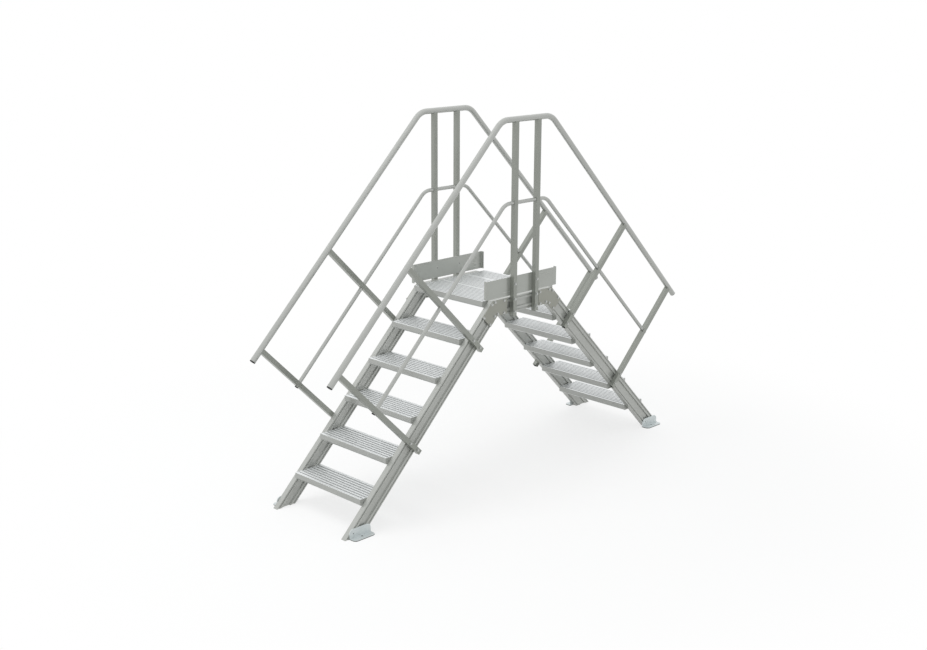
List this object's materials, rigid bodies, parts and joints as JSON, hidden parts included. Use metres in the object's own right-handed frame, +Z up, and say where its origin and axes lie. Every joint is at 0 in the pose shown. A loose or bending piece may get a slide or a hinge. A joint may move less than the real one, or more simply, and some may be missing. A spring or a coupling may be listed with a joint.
{
  "type": "crossover platform",
  "caption": "Aluminium crossover platform: a flight of ribbed treads up each side of a level deck, with handrails, knee rails, toe boards and foot brackets.",
  "frame": {"origin": "on the floor, under the middle of the deck", "axes": "+X is the walking direction from the left flight to the right one, +Y is across the walkway to the far side, +Z is up"},
  "size_m": [3.1672, 0.778, 2.307],
  "materials": {
    "profile_aluminium": "mill-finish extrusion, satin",
    "plate_aluminium": "mill-finish sheet, satin",
    "tread_aluminium": "ribbed extrusion, satin",
    "sheet_aluminium": "mill-finish sheet, satin",
    "tube_aluminium": "drawn tube, satin",
    "post_aluminium": "mill-finish square tube, satin",
    "zinc_plated_steel": "zinc-plated, satin",
    "black_plastic": "moulded, matt"
  },
  "bodies": {
    "root": {"left_stringer_near": "profile_aluminium", "left_stringer_far": "profile_aluminium", "right_stringer_near": "profile_aluminium", "right_stringer_far": "profile_aluminium", "side_beam_near": "profile_aluminium", "side_beam_far": "profile_aluminium", "left_knee_plate_near": "plate_aluminium", "left_knee_plate_far": "plate_aluminium", "right_knee_plate_near": "plate_aluminium", "right_knee_plate_far": "plate_aluminium", "left_tread_1": "tread_aluminium", "left_tread_2": "tread_aluminium", "left_tread_3": "tread_aluminium", "left_tread_4": "tread_aluminium", "left_tread_5": "tread_aluminium", "right_tread_1": "tread_aluminium", "right_tread_2": "tread_aluminium", "right_tread_3": "tread_aluminium", "right_tread_4": "tread_aluminium", "right_tread_5": "tread_aluminium", "left_deck_plank": "tread_aluminium", "middle_deck_plank": "tread_aluminium", "right_deck_plank": "tread_aluminium", "toe_board_near": "sheet_aluminium", "toe_board_far": "sheet_aluminium", "handrail_near": "tube_aluminium", "handrail_far": "tube_aluminium", "knee_rail_near": "tube_aluminium", "knee_rail_far": "tube_aluminium", "handrail_caps": "black_plastic", "knee_rail_caps": "black_plastic", "platform_posts_near": "post_aluminium", "platform_posts_far": "post_aluminium", "left_posts_near": "post_aluminium", "left_posts_far": "post_aluminium", "right_posts_near": "post_aluminium", "right_posts_far": "post_aluminium", "left_foot_near": "zinc_plated_steel", "left_foot_far": "zinc_plated_steel", "right_foot_near": "zinc_plated_steel", "right_foot_far": "zinc_plated_steel"}
  },
  "joints": []
}
